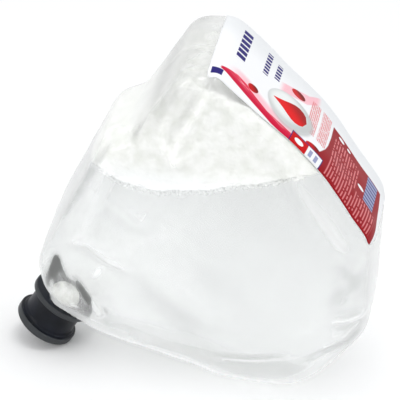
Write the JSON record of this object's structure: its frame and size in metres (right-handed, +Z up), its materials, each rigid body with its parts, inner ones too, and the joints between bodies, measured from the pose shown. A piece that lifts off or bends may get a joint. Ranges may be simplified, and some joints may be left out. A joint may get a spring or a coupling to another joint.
{
  "type": "hand soap refill pack",
  "caption": "Soft clear bag of liquid hand soap with foam on top, a paper label down one sloping side and a black flanged spout at its low corner.",
  "frame": {"origin": "on the floor under the middle of the pack's bounding box", "axes": "+Z up; +X along the pack, away from the spout; +Y through its depth, away from the front panel"},
  "size_m": [0.138, 0.056, 0.1369],
  "materials": {
    "clear_film": "thin clear blown film, glossy, softly wrinkled",
    "liquid_soap": "clear colourless liquid",
    "soap_foam": "white foam of fine bubbles",
    "label_paper": "printed label with a satin varnish, red and white",
    "spout_plastic": "satin black moulded plastic",
    "seal_film": "wrinkled white sealing film"
  },
  "bodies": {
    "root": {"clear_bag": "clear_film", "liquid_soap": "liquid_soap", "soap_foam": "soap_foam", "label": "label_paper", "spout": "spout_plastic", "spout_seal": "seal_film"}
  },
  "joints": []
}
